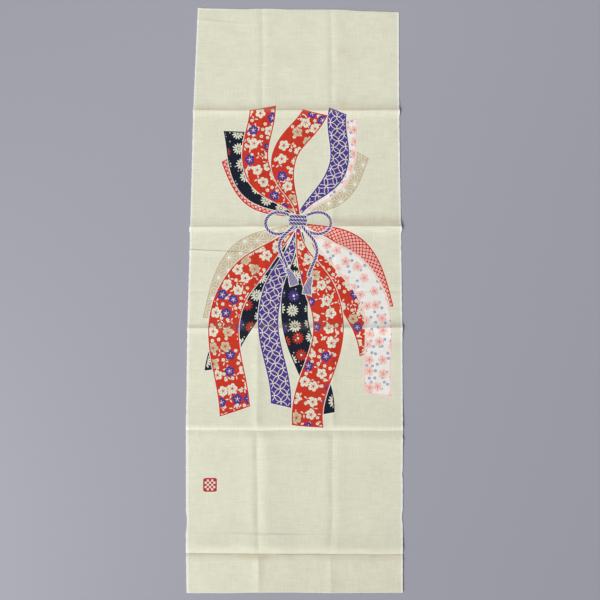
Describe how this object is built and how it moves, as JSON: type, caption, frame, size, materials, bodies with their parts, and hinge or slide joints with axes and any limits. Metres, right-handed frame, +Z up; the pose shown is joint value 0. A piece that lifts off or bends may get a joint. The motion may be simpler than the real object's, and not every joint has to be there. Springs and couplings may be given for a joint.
{
  "type": "tenugui towel",
  "caption": "Narrow cotton hand towel with a dyed pattern, opened flat, with the creases of its folds across it and along it.",
  "frame": {"origin": "on the surface that the towel lies on, under the middle of its box", "axes": "+Z up from the surface, +Y along the towel towards its far cut end, +X across it to the right"},
  "size_m": [0.3368, 0.9214, 0.0049],
  "materials": {
    "cotton": "plain-weave cotton, matt, undyed cream ground with a dyed pattern"
  },
  "bodies": {
    "root": {"cloth": "cotton"}
  },
  "joints": []
}
